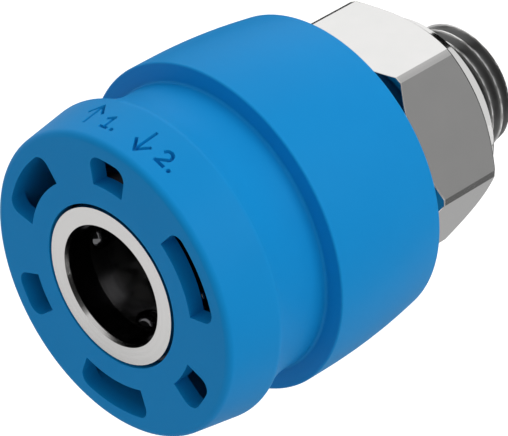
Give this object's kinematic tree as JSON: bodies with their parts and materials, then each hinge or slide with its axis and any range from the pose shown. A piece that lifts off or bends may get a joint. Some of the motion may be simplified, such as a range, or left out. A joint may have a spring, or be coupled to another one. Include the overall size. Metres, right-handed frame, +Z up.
{
  "type": "pneumatic coupling socket",
  "caption": "Compressed-air coupling socket with a blue moulded two-stage safety sleeve, ball-locked plug bore, hexagon and male pipe thread.",
  "frame": {"origin": "on the axis, in the sealing face of the collar at the foot of the thread", "axes": "+Y along the axis from the plug mouth to the thread, +Z up through a flat of the hexagon"},
  "size_m": [0.0332, 0.0474, 0.0332],
  "materials": {
    "sleeve_plastic": "moulded, satin blue",
    "nickel_plated_brass": "turned, bright nickel plated",
    "plated_steel": "turned, nickel plated",
    "hardened_steel": "hardened, ground",
    "ball_steel": "polished",
    "spring_steel": "drawn wire and stamped strip",
    "black_acetal": "turned",
    "turned_brass": "turned",
    "turned_aluminium": "turned, blue anodised",
    "seal_rubber": "moulded black rubber"
  },
  "bodies": {
    "socket": {"rear_body": "nickel_plated_brass", "tube_oring": "seal_rubber", "socket_tube": "plated_steel", "plug_seal": "seal_rubber", "bulkhead_plug": "turned_brass", "bulkhead_oring": "seal_rubber", "ring_stop": "spring_steel", "release_spring": "spring_steel", "vent_spring": "spring_steel", "valve_spring": "spring_steel"},
    "release": {"release_ring": "hardened_steel"},
    "slide": {"control_slide": "turned_aluminium", "drive_ring": "spring_steel", "slide_oring_front": "seal_rubber", "slide_oring_rear": "seal_rubber"},
    "sleeve": {"outer_sleeve": "sleeve_plastic"},
    "valve": {"valve_poppet": "black_acetal", "valve_seal": "seal_rubber"},
    "ball_1": {"locking_ball_1": "ball_steel"},
    "ball_2": {"locking_ball_2": "ball_steel"},
    "ball_3": {"locking_ball_3": "ball_steel"},
    "ball_4": {"locking_ball_4": "ball_steel"}
  },
  "joints": [
    {"name": "release_slide", "type": "slide", "parent": "socket", "child": "release", "axis": [0, -1, 0], "range_m": [0, 0.0025], "stiffness_N_per_m": 1500, "springref_m": -0.003, "deforming": ["release_spring"]},
    {"name": "vent_slide", "type": "slide", "parent": "release", "child": "slide", "axis": [0, 1, 0], "range_m": [0, 0.0022], "stiffness_N_per_m": 800, "springref_m": -0.003, "deforming": ["vent_spring"]},
    {"name": "sleeve_turn", "type": "hinge", "parent": "slide", "child": "sleeve", "pos_m": [0, 0, 0], "axis": [0, 1, 0], "continuous": true},
    {"name": "valve_slide", "type": "slide", "parent": "socket", "child": "valve", "axis": [0, 1, 0], "range_m": [0, 0.0022], "stiffness_N_per_m": 300, "springref_m": -0.003, "deforming": ["valve_spring"]},
    {"name": "ball_1_slide", "type": "slide", "parent": "socket", "child": "ball_1", "axis": [1, 0, 0], "range_m": [0, 0.00062]},
    {"name": "ball_2_slide", "type": "slide", "parent": "socket", "child": "ball_2", "axis": [0, 0, 1], "range_m": [0, 0.00062]},
    {"name": "ball_3_slide", "type": "slide", "parent": "socket", "child": "ball_3", "axis": [-1, 0, 0], "range_m": [0, 0.00062]},
    {"name": "ball_4_slide", "type": "slide", "parent": "socket", "child": "ball_4", "axis": [0, 0, -1], "range_m": [0, 0.00062]}
  ],
  "couplings": [
    {"joint": "ball_1_slide", "follows": "release_slide", "ratio": 0.24},
    {"joint": "ball_2_slide", "follows": "release_slide", "ratio": 0.24},
    {"joint": "ball_3_slide", "follows": "release_slide", "ratio": 0.24},
    {"joint": "ball_4_slide", "follows": "release_slide", "ratio": 0.24}
  ]
}
